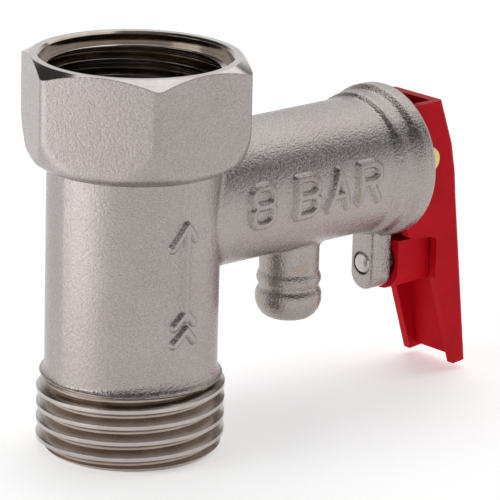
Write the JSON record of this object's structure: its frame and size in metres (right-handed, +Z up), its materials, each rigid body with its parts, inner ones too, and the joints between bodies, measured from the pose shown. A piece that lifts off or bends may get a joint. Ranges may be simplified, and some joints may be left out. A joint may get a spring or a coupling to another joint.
{
  "type": "pressure relief valve",
  "caption": "Forged tee safety valve with threaded ends, spring relief branch, drain barb and a red test lever.",
  "frame": {"origin": "centre of the inlet bore's mouth, at the male thread's end face on the run's axis", "axes": "+Z up the run towards the female outlet, +X out along the relief branch towards the lever"},
  "size_m": [0.0624, 0.0232, 0.0446],
  "materials": {
    "nickel_body": "satin nickel over blasted brass",
    "bare_brass": "turned",
    "pin_brass": "turned",
    "spring_steel": "drawn wire",
    "seat_steel": "turned stainless",
    "screw_steel": "dull zinc",
    "black_rubber": "matte",
    "white_acetal": "moulded",
    "red_plastic": "moulded, satin gloss"
  },
  "bodies": {
    "housing": {"valve_body": "nickel_body", "relief_seat": "seat_steel", "check_guide": "white_acetal", "retaining_ring": "spring_steel", "check_spring": "spring_steel", "relief_spring": "spring_steel", "spring_washer": "seat_steel", "adjusting_plug": "bare_brass", "plug_seal": "black_rubber", "spindle_seal": "black_rubber", "lock_screw": "screw_steel"},
    "check_valve": {"check_poppet": "white_acetal", "check_seal": "black_rubber", "seal_retainer": "white_acetal"},
    "relief_stem": {"spindle": "bare_brass", "relief_disc": "bare_brass", "relief_seal": "black_rubber", "seal_screw": "bare_brass", "cross_pin": "pin_brass"},
    "lever": {"lever": "red_plastic"}
  },
  "joints": [
    {"name": "check_lift", "type": "slide", "parent": "housing", "child": "check_valve", "axis": [0, 0, 1], "range_m": [0, 0.0023], "stiffness_N_per_m": 60, "springref_m": -0.002, "deforming": ["check_spring"]},
    {"name": "spindle_pull", "type": "slide", "parent": "housing", "child": "relief_stem", "axis": [1, 0, 0], "range_m": [0, 0.00398], "stiffness_N_per_m": 6000, "springref_m": -0.0037, "deforming": ["relief_spring"]},
    {"name": "lever_lift", "type": "hinge", "parent": "relief_stem", "child": "lever", "pos_m": [0.0416, 0, 0.0267], "axis": [0, -1, 0], "range_deg": [0, 60]}
  ],
  "couplings": [
    {"joint": "lever_lift", "follows": "spindle_pull", "rad_per_m": 263.1}
  ]
}
